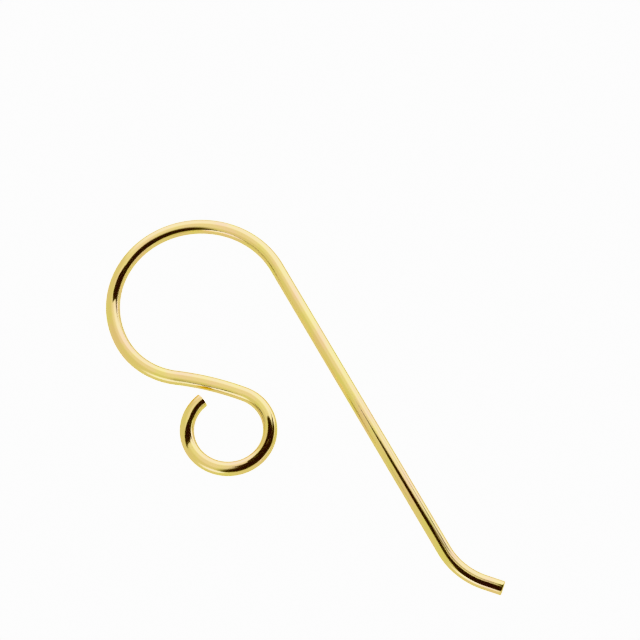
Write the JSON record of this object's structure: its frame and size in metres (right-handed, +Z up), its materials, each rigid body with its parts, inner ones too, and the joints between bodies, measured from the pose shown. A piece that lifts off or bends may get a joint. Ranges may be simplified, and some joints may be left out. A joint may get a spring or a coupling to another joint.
{
  "type": "ear wire",
  "caption": "Gold-coloured shepherd's-crook ear wire: round wire bent into an open eye, a gentle neck, a wide crook and a long straight leg with a kicked-out tail.",
  "frame": {"origin": "centre of the overall box at its bottom, on the surface that the wire lies on", "axes": "+Y along the straight leg towards the crook, +X away from the eye and the crook's hollow, across the leg, and +Z up, out of the plane that the wire is bent in"},
  "size_m": [0.0106, 0.0244, 0.0007],
  "materials": {
    "gold_wire": "mirror polished gold-filled wire"
  },
  "bodies": {
    "root": {"ear_wire": "gold_wire"}
  },
  "joints": []
}
